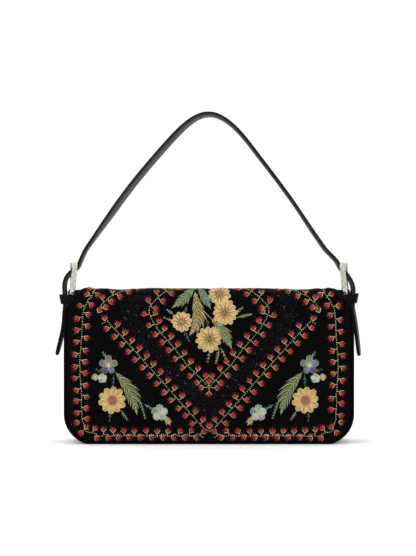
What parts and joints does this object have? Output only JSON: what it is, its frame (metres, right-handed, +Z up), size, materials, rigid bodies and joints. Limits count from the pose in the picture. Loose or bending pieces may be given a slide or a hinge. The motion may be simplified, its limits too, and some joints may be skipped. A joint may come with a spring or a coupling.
{
  "type": "baguette bag",
  "caption": "Small soft shoulder bag of black velvet with a full embroidered front flap, magnetic snap and an arched leather strap held by silver buckles.",
  "frame": {"origin": "middle of the base, on the surface that the bag stands on", "axes": "+X to the bag's right in the picture, -Y out of the front flap, +Z up"},
  "size_m": [0.2878, 0.0516, 0.3126],
  "materials": {
    "velvet": "short black velvet pile, matt with a soft sheen at the edges",
    "lining_cloth": "dark plain-weave lining with a slight sheen",
    "facing_band": "ribbed black ribbon",
    "board": "plain stiffener board",
    "strap_leather": "smooth black leather, semi-matt, with painted edges",
    "strap_back": "dark grey-black lining leather, matt",
    "buckle_metal": "bright silver, engraved and hammered, dark in the pits",
    "snap_metal": "satin nickel",
    "thread_red": "satin-stitched red thread",
    "thread_cream": "satin-stitched cream and amber thread",
    "thread_green": "satin-stitched sage green thread",
    "thread_pale": "satin-stitched pale lavender and mint thread",
    "beads": "faceted black glass beads with a blue-violet glint"
  },
  "bodies": {
    "bag": {"front_panel": "velvet", "back_panel": "velvet", "gusset_left": "velvet", "gusset_right": "velvet", "base_panel": "velvet", "base_board": "board", "lining": "lining_cloth", "slip_pocket": "lining_cloth", "mouth_facing": "facing_band", "snap_base": "snap_metal", "rivet_left": "snap_metal", "rivet_right": "snap_metal", "rivet_cap_left": "snap_metal", "rivet_cap_right": "snap_metal"},
    "flap_top": {"flap_top_cover": "velvet", "flap_top_lining": "lining_cloth"},
    "flap_front": {"flap_front_cover": "velvet", "flap_front_lining": "lining_cloth", "snap_cap": "snap_metal"},
    "handle": {"strap_outer": "strap_leather", "strap_lining": "strap_back", "buckle_left": "buckle_metal", "buckle_right": "buckle_metal", "keeper_left": "strap_leather", "keeper_right": "strap_leather", "tab_left": "strap_leather", "tab_right": "strap_leather"},
    "tail_left": {"strap_tail_left": "strap_leather"},
    "tail_right": {"strap_tail_right": "strap_leather"},
    "prong_left": {"prong_left": "buckle_metal"},
    "prong_right": {"prong_right": "buckle_metal"}
  },
  "joints": [
    {"name": "flap_lift", "type": "hinge", "parent": "bag", "child": "flap_top", "pos_m": [0, 0.024, 0.141], "axis": [-1, 0, 0], "range_deg": [0, 25]},
    {"name": "flap_open", "type": "hinge", "parent": "flap_top", "child": "flap_front", "pos_m": [0, -0.0276, 0.134], "axis": [-1, 0, 0], "range_deg": [0, 145]},
    {"name": "handle_swing", "type": "hinge", "parent": "bag", "child": "handle", "pos_m": [0, 0, 0.1267], "axis": [-1, 0, 0], "range_deg": [-30, 30]},
    {"name": "tail_left_bend", "type": "hinge", "parent": "handle", "child": "tail_left", "pos_m": [-0.1376, 0, 0.12858], "axis": [0, 1, 0], "range_deg": [0, 35]},
    {"name": "tail_right_bend", "type": "hinge", "parent": "handle", "child": "tail_right", "pos_m": [0.1376, 0, 0.12858], "axis": [0, -1, 0], "range_deg": [0, 35]},
    {"name": "prong_left_turn", "type": "hinge", "parent": "handle", "child": "prong_left", "pos_m": [-0.13, 0, 0.1412], "axis": [0, -1, 0], "range_deg": [0, 5]},
    {"name": "prong_right_turn", "type": "hinge", "parent": "handle", "child": "prong_right", "pos_m": [0.13, 0, 0.1412], "axis": [0, 1, 0], "range_deg": [0, 5]}
  ]
}
